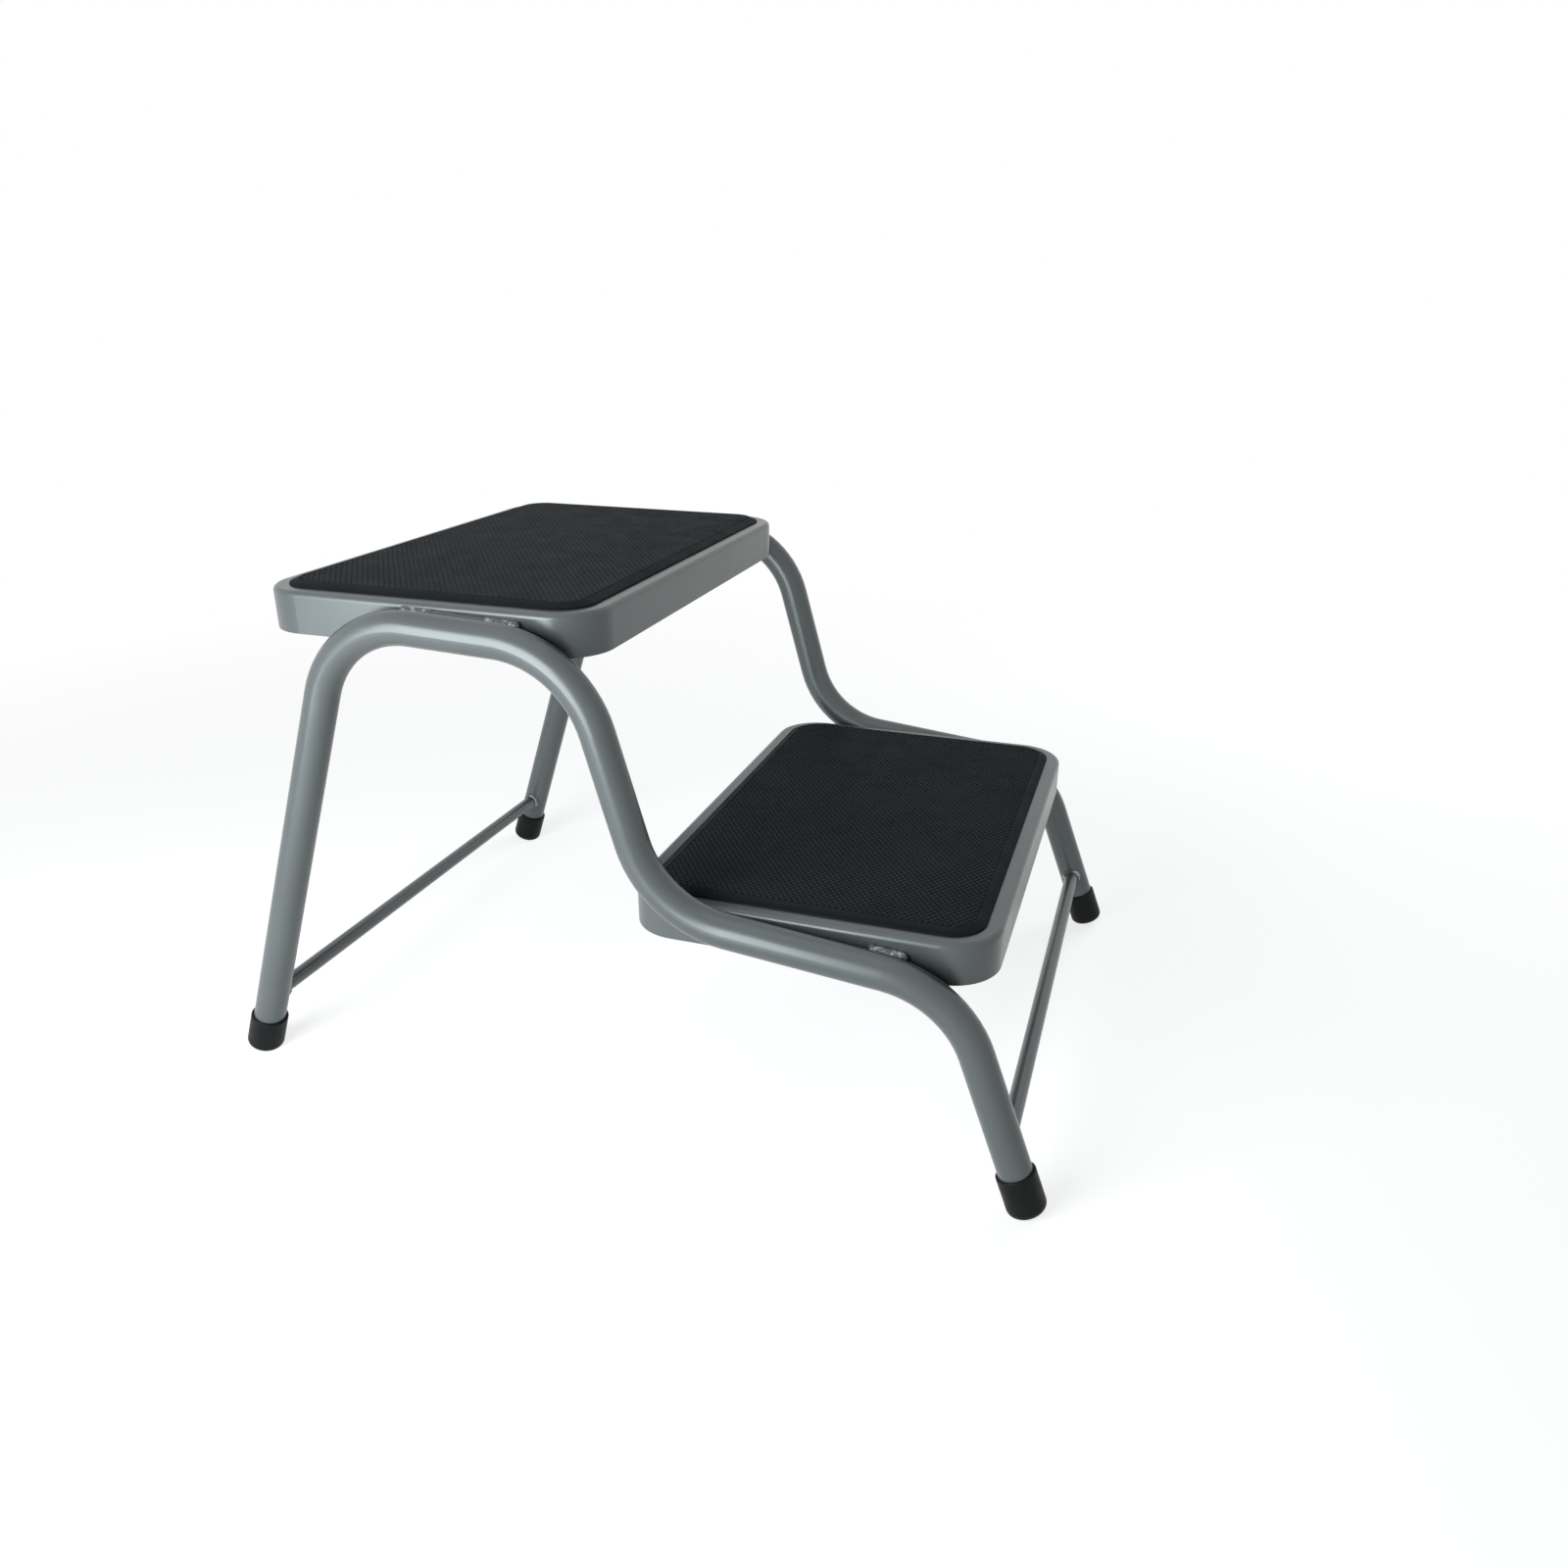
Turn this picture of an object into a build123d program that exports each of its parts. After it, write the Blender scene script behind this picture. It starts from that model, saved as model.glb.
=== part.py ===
from build123d import *
import os
from math import sqrt

# A free-standing caravan entry step with two treads, in millimetres.
# +Z is up, the front (the lower tread) faces -Y, and the origin is on the ground in the middle of the four feet.

# Side frames, each one bent round tube
tube_diameter = 25.0
tube_wall = 1.5
bend_radius = 80.0  # to the tube's centre line
foot_splay = 4.5  # how far the legs are sprung outwards at the ground

# Where the corners of the tube's centre line lie, from the edges of the treads beside them
rear_corner_inset = 82.5  # in front of the upper tread's back edge
front_corner_inset = 5.5  # behind the upper tread's front edge
lower_rear_corner_inset = 33.0  # in front of the lower tread's back edge
lower_front_corner_inset = 23.0  # behind the lower tread's front edge
top_run_rear_drop = 12.0  # below the top of the upper tread
top_run_front_drop = 20.0
lower_run_rear_drop = 3.5  # below the top of the lower tread
lower_run_front_drop = 25.5
rear_leg_spread = 129.0  # how far a rear foot stands behind its corner
front_leg_spread = 62.0  # how far a front foot stands in front of its corner

# Cross rods between the legs
rod_diameter = 12.5
rod_height = 52.5  # centre of the rod above the ground

# Treads, each a pressed pan with a rubber mat on it
tread_width = 406.0
tread_depth = 272.0
tread_gap = 13.5  # seen from above, between the two treads
upper_height = 391.5  # top of the upper pan above the ground
lower_height = 189.5
skirt_height = 31.0
sheet_thickness = 1.2
pan_corner_radius = 38.0
pan_edge_radius = 4.0
mat_land = 6.0  # flat rim of the pan left round the mat
mat_thickness = 4.0
mat_edge_chamfer = 1.0

# Rubber feet pushed on to the tube ends
foot_wall = 2.0
foot_height = 32.0
foot_floor = 5.0  # rubber under the tube's end
foot_edge_radius = 6.0
foot_rim_chamfer = 0.8
sole_depth = 1.2  # how much of the rounded bottom is cut off flat

# Welds
weld_gap = 1.5  # between the tube and the skirt of the pan
tread_weld_radius = 3.5
tread_weld_length = 28.0
tread_weld_taper = 2.0  # chamfer at a bead's ends
tread_weld_bite = 0.2  # how deep a bead runs into the skirt
rod_weld_leg = 2.5

# Places that follow from the sizes, first measured from the upper tread's front edge
tube_radius = tube_diameter / 2
rod_radius = rod_diameter / 2
foot_radius = tube_radius + foot_wall
mat_inset = pan_edge_radius + mat_land
frame_x = tread_width / 2 + weld_gap + tube_radius
lower_front_edge = -tread_gap - tread_depth
rear_corner = tread_depth - rear_corner_inset
lower_rear_corner = -tread_gap - lower_rear_corner_inset
lower_front_corner = lower_front_edge + lower_front_corner_inset
rear_foot = rear_corner + rear_leg_spread
front_foot = lower_front_corner - front_leg_spread
origin_y = (rear_foot + front_foot) / 2
upper_centre = tread_depth / 2 - origin_y
lower_centre = lower_front_edge + tread_depth / 2 - origin_y

# Corners of the left tube's centre line, from the rear foot to the front foot
rear_ground = Vector(-frame_x - foot_splay, rear_foot - origin_y, 0)
rear_top = Vector(-frame_x, rear_corner - origin_y, upper_height - top_run_rear_drop)
front_top = Vector(-frame_x, front_corner_inset - origin_y, upper_height - top_run_front_drop)
rear_low = Vector(-frame_x, lower_rear_corner - origin_y, lower_height - lower_run_rear_drop)
front_low = Vector(-frame_x, lower_front_corner - origin_y, lower_height - lower_run_front_drop)
front_ground = Vector(-frame_x - foot_splay, front_foot - origin_y, 0)
rear_leg = (rear_top - rear_ground).normalized()
front_leg = (front_low - front_ground).normalized()

os.makedirs("parts", exist_ok=True)


def write(piece, name):
    piece.part.label = name
    export_step(piece.part, f"parts/{name}.step")


def write_pair(piece, name):
    """Write a left-hand piece, and the right-hand one that mirrors it."""
    with BuildPart() as mirrored:
        mirror(piece.part, about=Plane.YZ)
    write(piece, f"left_{name}")
    write(mirrored, f"right_{name}")


def sole_offset(leg):
    """Height of a foot's bottom along its leg, so that the ground cuts its rounded edge to the sole's depth."""
    lean = sqrt(1 - leg.Z**2)
    edge_centre = foot_radius - foot_edge_radius
    return (foot_edge_radius - sole_depth + edge_centre * lean) / leg.Z - foot_edge_radius


def tube_end(ground, leg):
    """Where a leg's tube stands on the floor of its foot."""
    return ground + leg * (sole_offset(leg) + foot_floor)


def tread_pan(centre, height):
    """Sheet pressed into an inverted tray."""
    with BuildPart() as pan:
        with BuildSketch(Plane((0, centre, height))):
            RectangleRounded(tread_width, tread_depth, pan_corner_radius)
        extrude(amount=-skirt_height)
        fillet(pan.faces().sort_by(Axis.Z)[-1].edges(), pan_edge_radius)
        offset(amount=-sheet_thickness, openings=pan.faces().sort_by(Axis.Z)[0])
    return pan


def tread_mat(centre, height):
    """Rubber sheet that lies on a pan's flat top, with its corners concentric with the pan's."""
    with BuildPart() as mat:
        with BuildSketch(Plane((0, centre, height))):
            RectangleRounded(
                tread_width - 2 * mat_inset, tread_depth - 2 * mat_inset, pan_corner_radius - mat_inset
            )
        extrude(amount=mat_thickness)
        chamfer(mat.faces().sort_by(Axis.Z)[-1].edges(), mat_edge_chamfer)
    return mat


def rubber_foot(ground, leg):
    """Ferrule turned about its leg, with a flat sole on the ground."""
    across = leg.cross(Vector(1, 0, 0)).normalized()
    bottom = sole_offset(leg)
    rim = bottom + foot_height
    floor = bottom + foot_floor
    with BuildPart() as foot:
        with BuildSketch(Plane(origin=ground, x_dir=across, z_dir=across.cross(leg))):
            with BuildLine():
                FilletPolyline(
                    (0, bottom),
                    (foot_radius, bottom),
                    (foot_radius, rim - foot_rim_chamfer),
                    (foot_radius - foot_rim_chamfer, rim),
                    (tube_radius, rim),
                    (tube_radius, floor),
                    (0, floor),
                    radius=(0, foot_edge_radius, 0, 0, 0, 0, 0),
                    close=True,
                )
            make_face()
        revolve(axis=Axis(ground, leg))
        split(bisect_by=Plane.XY, keep=Keep.TOP)
    return foot


def cross_rod(end):
    """Round rod from leg to leg, with its ends cut to sit on the tubes."""
    with BuildPart() as rod:
        with BuildSketch(Plane.YZ.offset(end.X)):
            with Locations((end.Y, end.Z)):
                Circle(rod_radius)
        extrude(amount=-end.X)
        add(tube_outside.part, mode=Mode.SUBTRACT)
        mirror(about=Plane.YZ)
    return rod


def rod_welds(end, rod):
    """Fillet weld round each end of a cross rod."""
    face = end.X + tube_radius
    toe = face + rod_weld_leg
    collar_radius = rod_radius + rod_weld_leg
    with BuildPart() as welds:
        with BuildSketch(Plane((0, end.Y, end.Z))):
            with BuildLine():
                Polyline(
                    (end.X, 0), (end.X, collar_radius), (face, collar_radius), (toe, rod_radius), (toe, 0), close=True
                )
            make_face()
        revolve(axis=Axis((0, end.Y, end.Z), (1, 0, 0)))
        add(tube_outside.part, mode=Mode.SUBTRACT)
        add(rod.part, mode=Mode.SUBTRACT)
        mirror(about=Plane.YZ)
    return welds


def tread_welds(pan, places):
    """Short beads in the grooves above (rise 1) or below (rise -1) the tubes, against the skirt of a pan."""
    groove = tube_radius + weld_gap + tread_weld_bite - tread_weld_radius
    with BuildPart() as welds:
        for place, along, rise in places:
            with Locations(Plane(origin=place + Vector(groove, 0, rise * groove), z_dir=along)):
                Cylinder(tread_weld_radius, tread_weld_length)
        chamfer(welds.faces().filter_by(GeomType.PLANE).edges(), tread_weld_taper)
        add(tube_outside.part, mode=Mode.SUBTRACT)
        add(pan.part, mode=Mode.SUBTRACT)
        mirror(about=Plane.YZ)
    return welds


# Side frames, with the tube's section drawn at the foot of the rear leg
with BuildLine() as centre_line:
    FilletPolyline(
        tube_end(rear_ground, rear_leg),
        rear_top,
        front_top,
        rear_low,
        front_low,
        tube_end(front_ground, front_leg),
        radius=bend_radius,
    )
path = centre_line.wire()
section = Plane(origin=path @ 0, x_dir=rear_leg.cross(Vector(0, 1, 0)), z_dir=rear_leg)

with BuildPart() as tube_outside:
    with BuildSketch(section):
        Circle(tube_radius)
    sweep(path=path)

with BuildPart() as side_frame:
    with BuildSketch(section):
        Circle(tube_radius)
        Circle(tube_radius - tube_wall, mode=Mode.SUBTRACT)
    sweep(path=path)

write_pair(side_frame, "side_frame")

# Treads
upper_pan = tread_pan(upper_centre, upper_height)
lower_pan = tread_pan(lower_centre, lower_height)
write(upper_pan, "upper_tread_pan")
write(lower_pan, "lower_tread_pan")
write(tread_mat(upper_centre, upper_height), "upper_tread_mat")
write(tread_mat(lower_centre, lower_height), "lower_tread_mat")

# Feet
write_pair(rubber_foot(rear_ground, rear_leg), "rear_foot")
write_pair(rubber_foot(front_ground, front_leg), "front_foot")

# Cross rods and the welds at their ends
rear_rod_end = rear_ground + rear_leg * (rod_height / rear_leg.Z)
front_rod_end = front_ground + front_leg * (rod_height / front_leg.Z)
rear_rod = cross_rod(rear_rod_end)
front_rod = cross_rod(front_rod_end)
write(rear_rod, "rear_cross_rod")
write(front_rod, "front_cross_rod")
write(rod_welds(rear_rod_end, rear_rod), "rear_rod_welds")
write(rod_welds(front_rod_end, front_rod), "front_rod_welds")

# Welds between the frames and the treads, at the ends of the tubes' straight runs
straights = path.edges().filter_by(GeomType.LINE)
top_run = straights[1]
lower_run = straights[3]
upper_welds = tread_welds(upper_pan, [(top_run @ 0, top_run % 0, 1), (top_run @ 1, top_run % 1, 1)])
lower_welds = tread_welds(lower_pan, [(lower_run @ 0, lower_run % 0, -1), (lower_run @ 1, lower_run % 1, 1)])
write(upper_welds, "upper_tread_welds")
write(lower_welds, "lower_tread_welds")
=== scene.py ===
import math
import bpy
from mathutils import Matrix, Vector


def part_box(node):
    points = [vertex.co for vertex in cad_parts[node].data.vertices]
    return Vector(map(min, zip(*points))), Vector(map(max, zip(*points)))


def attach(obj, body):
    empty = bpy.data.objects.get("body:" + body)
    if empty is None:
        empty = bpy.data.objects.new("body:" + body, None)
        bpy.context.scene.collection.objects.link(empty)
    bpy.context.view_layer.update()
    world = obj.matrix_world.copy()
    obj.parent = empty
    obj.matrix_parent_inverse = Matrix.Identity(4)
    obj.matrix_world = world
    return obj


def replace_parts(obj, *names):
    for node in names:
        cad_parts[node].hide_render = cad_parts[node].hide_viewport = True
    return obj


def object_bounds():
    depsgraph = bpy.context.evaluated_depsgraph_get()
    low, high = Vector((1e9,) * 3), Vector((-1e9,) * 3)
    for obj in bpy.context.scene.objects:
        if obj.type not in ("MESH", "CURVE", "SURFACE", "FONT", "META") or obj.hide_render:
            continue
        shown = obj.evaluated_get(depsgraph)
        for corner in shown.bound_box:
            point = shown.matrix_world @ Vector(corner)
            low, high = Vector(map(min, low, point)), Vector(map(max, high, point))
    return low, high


# A caravan entry step with two treads: the finish of its solids, its moulded mats, its rough welds
# and a plain studio. Lengths are in metres, in the frame of the solids: +Z is up and the front faces -Y.

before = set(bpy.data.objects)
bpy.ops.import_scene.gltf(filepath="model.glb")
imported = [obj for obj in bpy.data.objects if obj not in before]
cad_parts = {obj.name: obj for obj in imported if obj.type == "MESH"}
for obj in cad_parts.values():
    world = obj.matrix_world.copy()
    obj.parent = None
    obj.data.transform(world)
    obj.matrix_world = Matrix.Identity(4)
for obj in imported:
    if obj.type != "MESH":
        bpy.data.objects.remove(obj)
cad_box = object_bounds()

# Camera, fitted to the edges of the tubes and treads in the picture
camera_place = Vector((-0.90579, -0.36577, 0.59417))
camera_yaw = math.radians(18.170)  # from +X towards +Y
camera_pitch = math.radians(-22.293)
camera_roll = math.radians(0.165)
focal_pixels = 1232.39
picture_pixels = 1600.0
sensor_width = 36.0  # millimetres

# Mats: a plain border round a field of low moulded diamonds
mat_margin = 0.0015  # how far a mat's edge lies inside the outline of its solid
mat_corner_radius = 0.028  # of that outline
mat_edge_radius = 0.0009
mat_edge_drop = 0.0026  # how far the border slopes down to the edge
mat_border = 0.0070  # width of the border
field_depth = 0.0005  # how far the field lies below the top of the border
field_slope = 0.0006  # width of the slope between them
diamond_length = 0.0065  # from one diamond to the next across the tread
diamond_width = 0.0047  # and from front to back
diamond_groove = 0.0004  # half the gap between the tips of two diamonds
diamond_top_share = 0.84  # size of a diamond's top, as a share of its base
diamond_root = 0.0001  # how far a diamond reaches into the mat
diamond_cut = 0.1  # share of a diamond that goes at each step as it is cut short at the border
diamond_directions = ((1, 0), (0, 1), (-1, 0), (0, -1))  # from its middle to its corners
corner_steps = 20
edge_steps = 5
painted_light_name = "rise"  # painted shade: 1 on top of the diamonds, 0 in the grooves and at the edge, which are painted darker as shade
border_painted_light = 0.5  # painted shade at the top of the border: half way between the two
crease_angle = math.radians(28.0)  # edges that turn further than this look sharp

# Weld beads
weld_bite = 0.0010  # how far a bead is pressed into the sheet
weld_sink = 0.0020  # how much deeper than its solid a bead lies between tube and skirt
weld_voxel = 0.0005
weld_lump_size = 0.0042
weld_lump_height = 0.0008
weld_melting = 14  # rounds of smoothing
bead_radius = 0.0035  # of the plain beads
seam_radius = 0.0028
seam_end = 0.0080  # how far a seam's end lies inside the end of a bead
seam_steps = 24

# Finishes, with linear colours
enamel_dark = (0.116, 0.132, 0.132)
enamel_light = (0.128, 0.144, 0.144)
enamel_metallic = 0.33
weld_dark = (0.118, 0.134, 0.134)
# painted highlight: the colour of the lighter flecks on the beads, which stand in for glints
weld_painted_highlight = (0.44, 0.47, 0.47)
# painted shade: the colour that the grooves, the mat's sides and, half as much, its border are darkened
# towards
mat_painted_shade = (0.0140, 0.0165, 0.0185)
mat_dark = (0.0325, 0.0380, 0.0425)
mat_light = (0.0400, 0.0460, 0.0515)
mat_dust = (0.066, 0.073, 0.078)
mat_specular = 0.04
foot_dark = (0.0032, 0.0042, 0.0044)
foot_light = (0.0066, 0.0080, 0.0082)
foot_specular = 0.15
patch_start = 0.3  # the noise at which a patch begins to change
patch_end = 0.7  # and at which it has changed

# Floor and background
floor_reach = 30.0
floor_colour = (0.6, 0.6, 0.6)
floor_lift = 0.75  # how far the floor is lifted towards white, which keeps the shadow pale
shadow_start = 0.55  # distance from the middle at which the floor starts to fade to white
shadow_end = 1.6
fill_colour = (0.94, 0.98, 1.0)
fill_strength = 0.05

# Words in the names of the solids
sides = ("left", "right")
ends = ("front", "rear")
treads = ("upper", "lower")


def new_material(name):
    """A material, with its node tree and its principled shader."""
    material = bpy.data.materials.new(name)
    material.use_nodes = True
    tree = material.node_tree
    return material, tree, tree.nodes["Principled BSDF"]


def noise(tree, size, detail):
    """Noise in object space, with lumps of a size in metres."""
    place = tree.nodes.new("ShaderNodeTexCoord")
    texture = tree.nodes.new("ShaderNodeTexNoise")
    texture.inputs["Scale"].default_value = 1.0 / size
    texture.inputs["Detail"].default_value = detail
    tree.links.new(place.outputs["Object"], texture.inputs["Vector"])
    return texture.outputs["Fac"]


def spread(tree, value, low, high, to_low, to_high):
    """Map the part of a value between low and high to a new span."""
    node = tree.nodes.new("ShaderNodeMapRange")
    node.inputs["From Min"].default_value = low
    node.inputs["From Max"].default_value = high
    node.inputs["To Min"].default_value = to_low
    node.inputs["To Max"].default_value = to_high
    tree.links.new(value, node.inputs["Value"])
    return node.outputs["Result"]


def patches(tree, size, detail, to_low, to_high):
    """A value that drifts between two others in patches of a size in metres."""
    return spread(tree, noise(tree, size, detail), patch_start, patch_end, to_low, to_high)


def blend_colours(tree, share, first, second):
    """Mix two colours, each a plain colour or the output of another node, by a share."""
    node = tree.nodes.new("ShaderNodeMix")
    node.data_type = "RGBA"
    tree.links.new(share, node.inputs["Factor"])
    for socket, colour in ((node.inputs["A"], first), (node.inputs["B"], second)):
        if isinstance(colour, tuple):
            socket.default_value = (*colour, 1.0)
        else:
            tree.links.new(colour, socket)
    return node.outputs["Result"]


def bump(tree, height, depth, strength, under=None):
    """A bump with its depth in metres, on top of the normal of another bump where one is given."""
    node = tree.nodes.new("ShaderNodeBump")
    node.inputs["Distance"].default_value = depth
    node.inputs["Strength"].default_value = strength
    tree.links.new(height, node.inputs["Height"])
    if under is not None:
        tree.links.new(under, node.inputs["Normal"])
    return node.outputs["Normal"]


def grey_paint():
    """Semi-gloss silver-grey stove enamel with a faint orange peel."""
    material, tree, shader = new_material("silver_grey_enamel")
    tone = patches(tree, size=0.09, detail=3.0, to_low=0.0, to_high=1.0)
    gloss = patches(tree, size=0.03, detail=3.0, to_low=0.28, to_high=0.32)
    peel = bump(tree, noise(tree, size=0.004, detail=1.0), depth=0.0002, strength=0.05)
    waves = bump(tree, noise(tree, size=0.05, detail=2.0), depth=0.0008, strength=0.06, under=peel)
    tree.links.new(blend_colours(tree, tone, enamel_dark, enamel_light), shader.inputs["Base Color"])
    tree.links.new(gloss, shader.inputs["Roughness"])
    tree.links.new(waves, shader.inputs["Normal"])
    shader.inputs["Metallic"].default_value = enamel_metallic
    return material


def weld_paint():
    """The same enamel over a rough bead, with lighter flecks painted on its lumps as highlights."""
    material, tree, shader = new_material("weld_enamel")
    lumps = noise(tree, size=0.004, detail=2.0)
    # painted highlight: where the lump noise is highest the bead is painted lighter and glossier, as glints
    painted_glint_flecks = spread(tree, lumps, low=0.51, high=0.60, to_low=0.0, to_high=1.0)
    gloss = spread(tree, painted_glint_flecks, low=0.0, high=1.0, to_low=0.34, to_high=0.28)
    grit = bump(tree, noise(tree, size=0.0012, detail=3.0), depth=0.0004, strength=0.5)
    tree.links.new(blend_colours(tree, painted_glint_flecks, weld_dark, weld_painted_highlight), shader.inputs["Base Color"])
    tree.links.new(gloss, shader.inputs["Roughness"])
    tree.links.new(grit, shader.inputs["Normal"])
    shader.inputs["Metallic"].default_value = enamel_metallic
    return material


def mat_rubber():
    """Matt black rubber with painted shade: darker in its grooves and on its sides and half as dark on its
    border, with a little dust on it.
    """
    material, tree, shader = new_material("moulded_mat_rubber")
    tone = patches(tree, size=0.06, detail=4.0, to_low=0.0, to_high=1.0)
    specks = noise(tree, size=0.0016, detail=3.0)
    dust = spread(tree, specks, low=0.55, high=0.8, to_low=0.0, to_high=0.3)
    top = blend_colours(tree, dust, blend_colours(tree, tone, mat_dark, mat_light), mat_dust)
    # painted shade: the attribute blends towards the shade colour in the grooves, on the sides and on the
    # border
    rise = tree.nodes.new("ShaderNodeAttribute")
    rise.attribute_name = painted_light_name
    gloss = patches(tree, size=0.02, detail=3.0, to_low=0.58, to_high=0.68)
    grain = bump(tree, noise(tree, size=0.0007, detail=2.0), depth=0.0002, strength=0.25)
    tree.links.new(blend_colours(tree, rise.outputs["Fac"], mat_painted_shade, top), shader.inputs["Base Color"])
    tree.links.new(gloss, shader.inputs["Roughness"])
    tree.links.new(grain, shader.inputs["Normal"])
    shader.inputs["Specular IOR Level"].default_value = mat_specular
    return material


def foot_rubber():
    """Smooth black moulded rubber."""
    material, tree, shader = new_material("ferrule_rubber")
    tone = patches(tree, size=0.012, detail=3.0, to_low=0.0, to_high=1.0)
    gloss = patches(tree, size=0.006, detail=3.0, to_low=0.42, to_high=0.55)
    grain = bump(tree, noise(tree, size=0.0009, detail=2.0), depth=0.0002, strength=0.2)
    tree.links.new(blend_colours(tree, tone, foot_dark, foot_light), shader.inputs["Base Color"])
    tree.links.new(gloss, shader.inputs["Roughness"])
    tree.links.new(grain, shader.inputs["Normal"])
    shader.inputs["Specular IOR Level"].default_value = foot_specular
    return material


def paint_node(name, material):
    """Give a solid its finish."""
    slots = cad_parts[name].data.materials
    slots.clear()
    slots.append(material)


def add_piece(name, mesh, material):
    """Show a mesh on the step."""
    mesh.materials.clear()
    mesh.materials.append(material)
    piece = bpy.data.objects.new(name, mesh)
    bpy.context.scene.collection.objects.link(piece)
    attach(piece, "root")
    return piece


def smooth_mesh(name, vertices, faces):
    """A mesh that shades smoothly over its roundings."""
    mesh = bpy.data.meshes.new(name)
    mesh.from_pydata(vertices, [], faces)
    mesh.shade_smooth()
    mesh.set_sharp_from_angle(angle=crease_angle)
    return mesh


def ring_faces(first, rings, count):
    """Faces of a closed skin over rings of points, from the number of the first point and a ring's count."""
    faces = []
    last = first + (rings - 1) * count
    for start in range(first, last, count):
        for place in range(count):
            after = (place + 1) % count
            faces.append([start + place, start + after, start + count + after, start + count + place])
    faces.append(list(range(first + count - 1, first - 1, -1)))
    faces.append(list(range(last, last + count)))
    return faces


def rounded_rectangle(half_x, half_y, radius, middle, height):
    """Points round a rounded rectangle, anticlockwise."""
    points = []
    for quarter, (side_x, side_y) in enumerate([(1, 1), (-1, 1), (-1, -1), (1, -1)]):
        centre_x = middle.x + side_x * (half_x - radius)
        centre_y = middle.y + side_y * (half_y - radius)
        for step in range(corner_steps + 1):
            angle = math.pi / 2 * (quarter + step / corner_steps)
            x = centre_x + radius * math.cos(angle)
            y = centre_y + radius * math.sin(angle)
            points.append((x, y, height))
    return points


def inside_rounded_rectangle(x, y, half_x, half_y, radius):
    """Whether a point lies in a rounded rectangle about the origin."""
    past_x = max(abs(x) - (half_x - radius), 0.0)
    past_y = max(abs(y) - (half_y - radius), 0.0)
    return math.hypot(past_x, past_y) <= radius


def diamond_reaches(x, y, half_x, half_y, radius):
    """How much of a diamond about a point lies in the field of a mat, as a share towards each corner."""
    reaches = []
    for side_x, side_y in diamond_directions:
        corner_x = side_x * (diamond_length / 2 - diamond_groove)
        corner_y = side_y * (diamond_width / 2 - diamond_groove)
        reach = 1.0
        while reach > 0 and not inside_rounded_rectangle(
            x + reach * corner_x, y + reach * corner_y, half_x, half_y, radius
        ):
            reach -= diamond_cut
        reaches.append((reach, reach * corner_x, reach * corner_y))
    return reaches


def mat_diamonds(half_x, half_y, radius, middle, floor, top):
    """Points of rows of low diamonds that fill a mat's field, cut short where they meet its border.

    Each diamond has a ring of points at its base, and then one at its top.
    """
    points = []
    rows = int(half_y / (diamond_width / 2))
    columns = int(half_x / diamond_length) + 1
    for row in range(-rows, rows + 1):
        y = row * diamond_width / 2
        shift = diamond_length / 2 if row % 2 else 0.0
        for column in range(-columns, columns + 1):
            x = column * diamond_length + shift
            reaches = diamond_reaches(x, y, half_x, half_y, radius)
            if min(reach for reach, _, _ in reaches) < diamond_cut:
                continue
            for share, height in ((1.0, floor - diamond_root), (diamond_top_share, top)):
                for _, reach_x, reach_y in reaches:
                    place_x = middle.x + x + share * reach_x
                    place_y = middle.y + y + share * reach_y
                    points.append((place_x, place_y, height))
    return points


def mat_profile(low, high, field_inset):
    """Insets and heights from a mat's foot, over its edge and border, to its field."""
    edge_spring = high - mat_edge_drop - mat_edge_radius
    profile = [(mat_margin, low)]
    for step in range(edge_steps + 1):
        angle = math.pi / 2 * step / edge_steps
        inset = mat_margin + mat_edge_radius * (1 - math.cos(angle))
        profile.append((inset, edge_spring + mat_edge_radius * math.sin(angle)))
    profile.append((mat_margin + mat_border, high))
    profile.append((field_inset, high - field_depth))
    return profile


def tread_mat(node, material):
    """Moulded rubber mat: rounded edge, sloping border, and a sunk field filled with diamonds."""
    low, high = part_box(node)
    middle = (low + high) / 2
    half = (high - low) / 2
    field_inset = mat_margin + mat_border + field_slope
    profile = mat_profile(low.z, high.z, field_inset)
    vertices = []
    for inset, height in profile:
        radius = mat_corner_radius - inset
        vertices += rounded_rectangle(half.x - inset, half.y - inset, radius, middle, height)
    count = len(vertices) // len(profile)
    faces = ring_faces(0, len(profile), count)
    # painted shade: the foot and edge rings and the field's floor are painted dark, the border's top half as
    # dark
    painted_light_shares = [0.0] * count * (len(profile) - 2) + [border_painted_light] * count + [0.0] * count
    studs = mat_diamonds(
        half.x - field_inset,
        half.y - field_inset,
        mat_corner_radius - field_inset,
        middle,
        high.z - field_depth,
        high.z,
    )
    stud_corners = len(diamond_directions)
    # painted shade: a diamond's base is painted dark, its top is not
    for first in range(len(vertices), len(vertices) + len(studs), 2 * stud_corners):
        faces += ring_faces(first, 2, stud_corners)
        painted_light_shares += [0.0] * stud_corners + [1.0] * stud_corners
    name = f"{node}_moulded"
    mesh = smooth_mesh(name, vertices + studs, faces)
    mesh.attributes.new(painted_light_name, "FLOAT", "POINT").data.foreach_set("value", painted_light_shares)
    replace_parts(add_piece(name, mesh, material), node)


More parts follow.
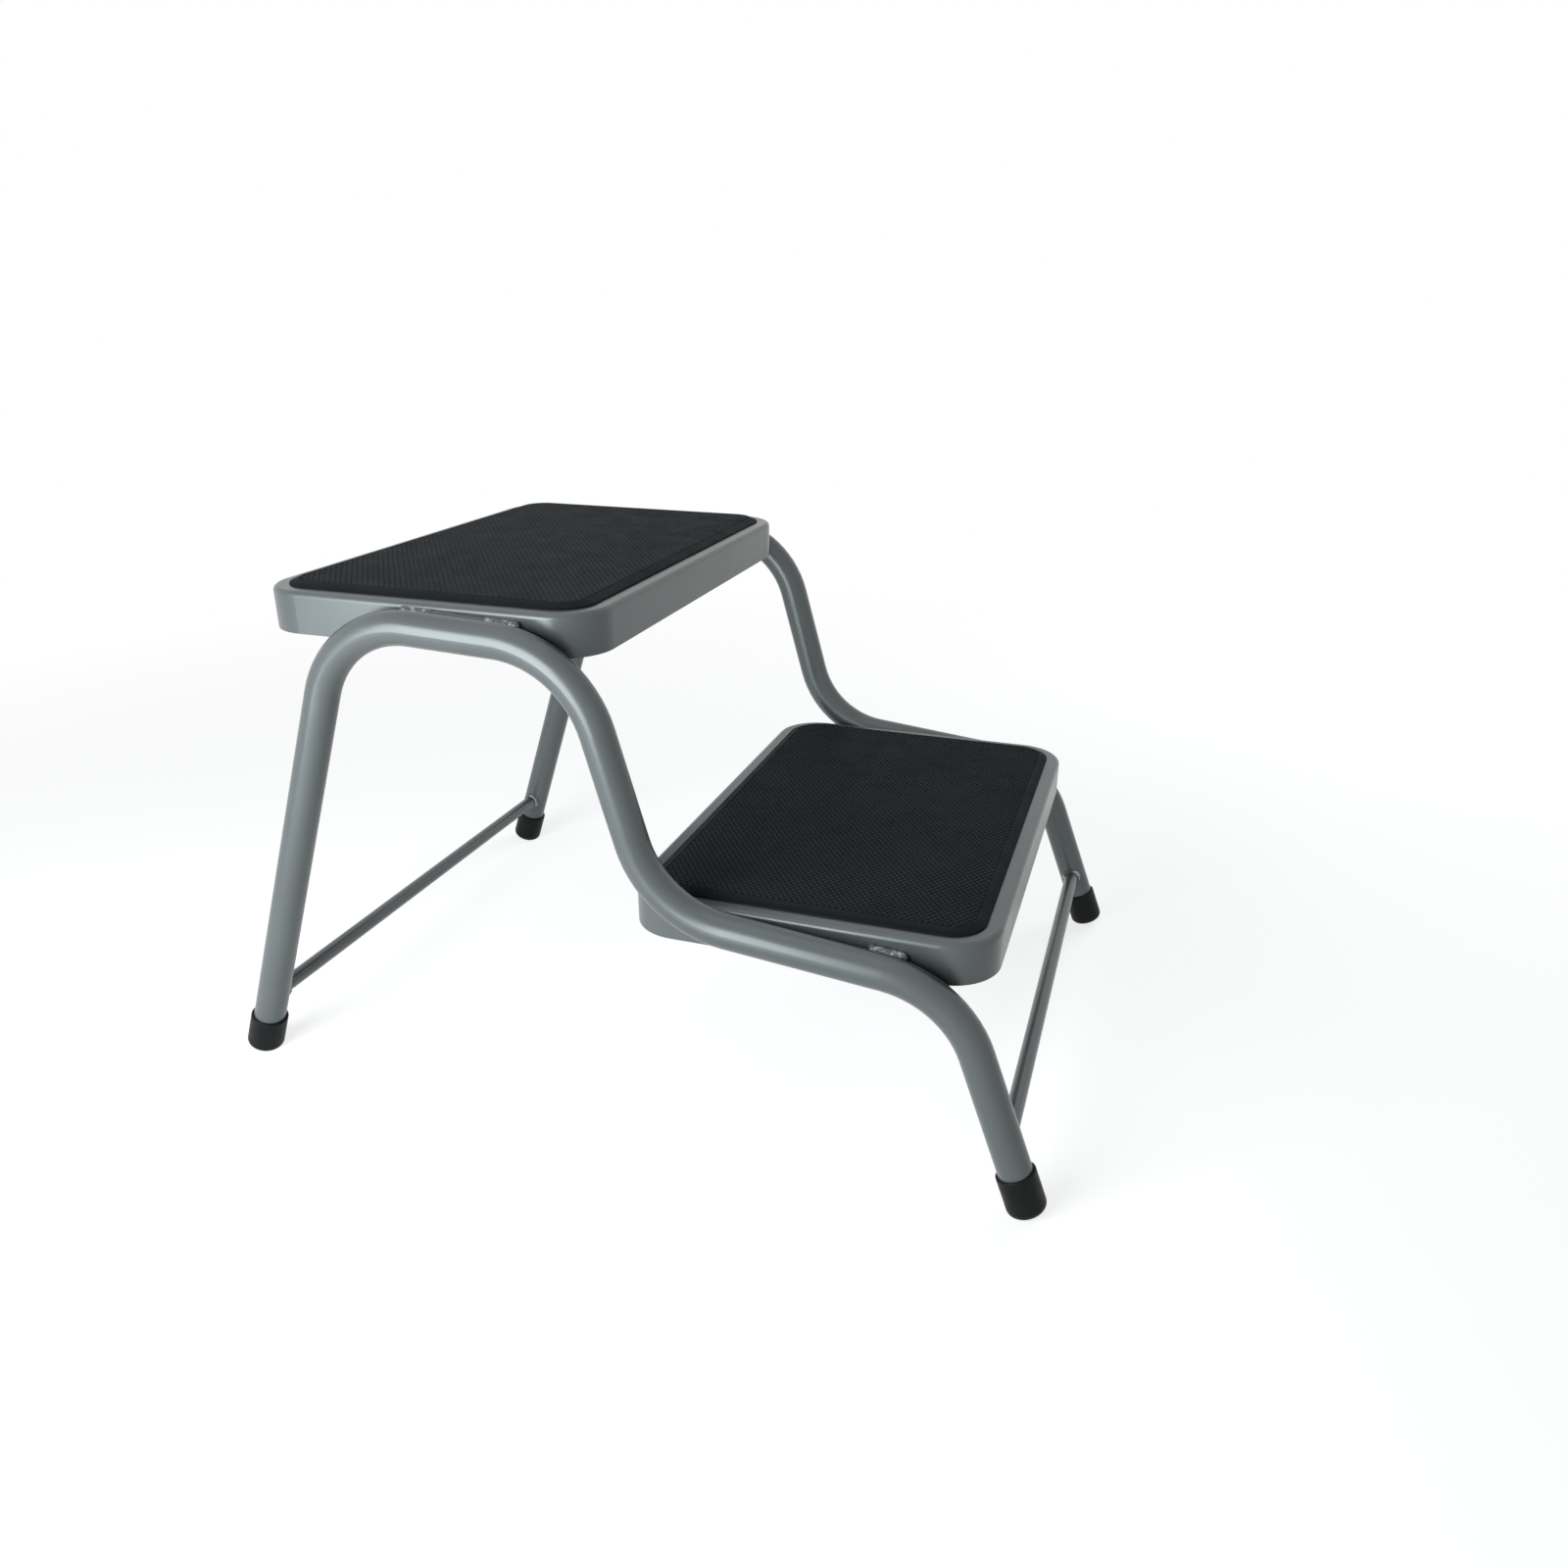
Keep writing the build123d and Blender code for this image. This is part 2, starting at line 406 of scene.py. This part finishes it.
def rough_weld(node, material, bite=0.0, front_sink=0.0, rear_sink=0.0):
    """Lumpy bead made from a plain one, pressed towards the middle and down by the depths given."""
    low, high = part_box(node)
    middle = (low + high) / 2
    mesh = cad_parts[node].data.copy()
    for vertex in mesh.vertices:
        vertex.co.x -= math.copysign(bite, vertex.co.x)
        vertex.co.z -= front_sink if vertex.co.y < middle.y else rear_sink
    weld = add_piece(f"{node}_rough", mesh, material)
    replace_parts(weld, node)
    even = weld.modifiers.new("even_mesh", "REMESH")
    even.mode = "VOXEL"
    even.voxel_size = weld_voxel
    even.use_smooth_shade = True
    melt = weld.modifiers.new("melt", "SMOOTH")
    melt.iterations = weld_melting
    lumps = bpy.data.textures.new(f"{node}_lumps", "CLOUDS")
    lumps.noise_scale = weld_lump_size
    swell = weld.modifiers.new("lumps", "DISPLACE")
    swell.texture = lumps
    swell.texture_coords = "GLOBAL"
    swell.strength = weld_lump_height


def weld_seams(node, material):
    """Smooth seams that join the front and rear beads of a tread, one on each side."""
    low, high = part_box(node)
    rear = Vector((0, high.y - seam_end, high.z - bead_radius - weld_sink))
    front = Vector((0, low.y + seam_end, low.z + bead_radius - weld_sink))
    vertices = []
    faces = []
    for side in (-1, 1):
        across = side * (high.x - bead_radius - weld_bite)
        faces += ring_faces(len(vertices), 2, seam_steps)
        for end in (rear, front):
            for step in range(seam_steps):
                angle = 2 * math.pi * step / seam_steps
                x = across + seam_radius * math.cos(angle)
                z = end.z + seam_radius * math.sin(angle)
                vertices.append((x, end.y, z))
    name = f"{node}_seams"
    add_piece(name, smooth_mesh(name, vertices, faces), material)


def seen_directly(tree):
    """1 for rays that come straight from the camera or by a mirror or glass, else 0."""
    path = tree.nodes.new("ShaderNodeLightPath")
    value = path.outputs["Is Camera Ray"]
    for ray in ("Is Glossy Ray", "Is Transmission Ray"):
        either = tree.nodes.new("ShaderNodeMath")
        either.operation = "MAXIMUM"
        tree.links.new(value, either.inputs[0])
        tree.links.new(path.outputs[ray], either.inputs[1])
        value = either.outputs["Value"]
    return value


def mix_shaders(tree, share, first, second):
    """Mix two shaders by a share."""
    node = tree.nodes.new("ShaderNodeMixShader")
    tree.links.new(share, node.inputs["Fac"])
    tree.links.new(first, node.inputs[1])
    tree.links.new(second, node.inputs[2])
    return node.outputs[0]


def floor_white():
    """Matt floor that is seen to fade to white away from the step, and keeps its soft shadow."""
    material = bpy.data.materials.new("floor_white")
    material.use_nodes = True
    tree = material.node_tree
    tree.nodes.clear()
    output = tree.nodes.new("ShaderNodeOutputMaterial")
    place = tree.nodes.new("ShaderNodeTexCoord")
    distance = tree.nodes.new("ShaderNodeVectorMath")
    distance.operation = "LENGTH"
    tree.links.new(place.outputs["Object"], distance.inputs[0])
    away = spread(tree, distance.outputs["Value"], shadow_start, shadow_end, to_low=0.0, to_high=1.0)
    matt = tree.nodes.new("ShaderNodeBsdfDiffuse")
    matt.inputs["Color"].default_value = (*floor_colour, 1.0)
    lift = tree.nodes.new("ShaderNodeEmission")
    lift.inputs["Strength"].default_value = floor_lift
    near = tree.nodes.new("ShaderNodeAddShader")
    tree.links.new(matt.outputs[0], near.inputs[0])
    tree.links.new(lift.outputs[0], near.inputs[1])
    white = tree.nodes.new("ShaderNodeEmission")
    seen = mix_shaders(tree, away, near.outputs[0], white.outputs[0])
    surface = mix_shaders(tree, seen_directly(tree), matt.outputs[0], seen)
    tree.links.new(surface, output.inputs["Surface"])
    return material


def add_floor():
    """Wide floor under the feet."""
    mesh = bpy.data.meshes.new("floor")
    corners = [(x * floor_reach, y * floor_reach, 0) for x, y in ((-1, -1), (1, -1), (1, 1), (-1, 1))]
    mesh.from_pydata(corners, [], [(0, 1, 2, 3)])
    mesh.materials.append(floor_white())
    floor = bpy.data.objects.new("floor", mesh)
    bpy.context.scene.collection.objects.link(floor)


def add_world():
    """Even dim light all round, with a white background behind the step."""
    world = bpy.data.worlds.new("studio")
    bpy.context.scene.world = world
    world.use_nodes = True
    tree = world.node_tree
    tree.nodes.clear()
    output = tree.nodes.new("ShaderNodeOutputWorld")
    fill = tree.nodes.new("ShaderNodeBackground")
    fill.inputs["Color"].default_value = (*fill_colour, 1.0)
    fill.inputs["Strength"].default_value = fill_strength
    white = tree.nodes.new("ShaderNodeBackground")
    white.inputs["Color"].default_value = (1.0, 1.0, 1.0, 1.0)
    surface = mix_shaders(tree, seen_directly(tree), fill.outputs[0], white.outputs[0])
    tree.links.new(surface, output.inputs["Surface"])


def add_light(name, azimuth, elevation, distance, width, height, energy, colour, mirrored=True):
    """Softbox that faces the middle of the step, and shows in gloss where it is mirrored.

    Azimuth runs from +X towards +Y.
    """
    target = (cad_box[0] + cad_box[1]) / 2
    turn = math.radians(azimuth)
    rise = math.radians(elevation)
    outward = Vector((math.cos(rise) * math.cos(turn), math.cos(rise) * math.sin(turn), math.sin(rise)))
    lamp = bpy.data.lights.new(name, "AREA")
    lamp.shape = "RECTANGLE"
    lamp.size = width
    lamp.size_y = height
    lamp.energy = energy
    lamp.color = colour
    light = bpy.data.objects.new(name, lamp)
    light.location = target + outward * distance
    light.rotation_mode = "QUATERNION"
    light.rotation_quaternion = outward.to_track_quat("Z", "Y")
    light.visible_camera = False
    light.visible_glossy = mirrored
    bpy.context.scene.collection.objects.link(light)


def add_camera():
    """Camera at the picture's place and angle."""
    ahead = Vector(
        (
            math.cos(camera_pitch) * math.cos(camera_yaw),
            math.cos(camera_pitch) * math.sin(camera_yaw),
            math.sin(camera_pitch),
        )
    )
    level = ahead.cross(Vector((0, 0, 1))).normalized()
    upright = level.cross(ahead)
    right = math.cos(camera_roll) * level + math.sin(camera_roll) * upright
    up = math.cos(camera_roll) * upright - math.sin(camera_roll) * level
    turned = Matrix((right, up, -ahead)).transposed().to_4x4()
    lens = bpy.data.cameras.new("camera")
    lens.sensor_width = sensor_width
    lens.lens = focal_pixels / picture_pixels * sensor_width
    camera = bpy.data.objects.new("camera", lens)
    camera.matrix_world = Matrix.Translation(camera_place) @ turned
    bpy.context.scene.collection.objects.link(camera)
    bpy.context.scene.camera = camera


# Solids that keep their shape
paint = grey_paint()
rubber = foot_rubber()
for side in sides:
    paint_node(f"{side}_side_frame", paint)
    for end in ends:
        paint_node(f"{side}_{end}_foot", rubber)
for end in ends:
    paint_node(f"{end}_cross_rod", paint)
for tread in treads:
    paint_node(f"{tread}_tread_pan", paint)

# Moulded mats
mat_finish = mat_rubber()
for tread in treads:
    tread_mat(f"{tread}_tread_mat", mat_finish)

# Rough welds. Those at the back of the lower tread lie under the tubes, so they sink upwards
bead_finish = weld_paint()
rough_weld("upper_tread_welds", bead_finish, weld_bite, weld_sink, weld_sink)
rough_weld("lower_tread_welds", bead_finish, weld_bite, weld_sink, -weld_sink)
weld_seams("upper_tread_welds", paint)
for end in ends:
    rough_weld(f"{end}_rod_welds", bead_finish)

# Studio
add_floor()
add_world()
add_light(
    "window",
    azimuth=160.0,
    elevation=12.0,
    distance=1.1,
    width=0.76,
    height=0.75,
    energy=13.5,
    colour=(0.91, 0.96, 1.0),
)
add_light(
    "right_fill",
    azimuth=332.0,
    elevation=25.0,
    distance=2.2,
    width=1.4,
    height=1.0,
    energy=13.0,
    colour=(0.96, 1.0, 1.0),
    mirrored=False,
)
add_light(
    "overhead",
    azimuth=90.0,
    elevation=85.0,
    distance=2.2,
    width=1.6,
    height=1.6,
    energy=3.0,
    colour=(0.97, 0.99, 1.0),
)
add_camera()
bpy.context.scene.view_settings.view_transform = "Standard"
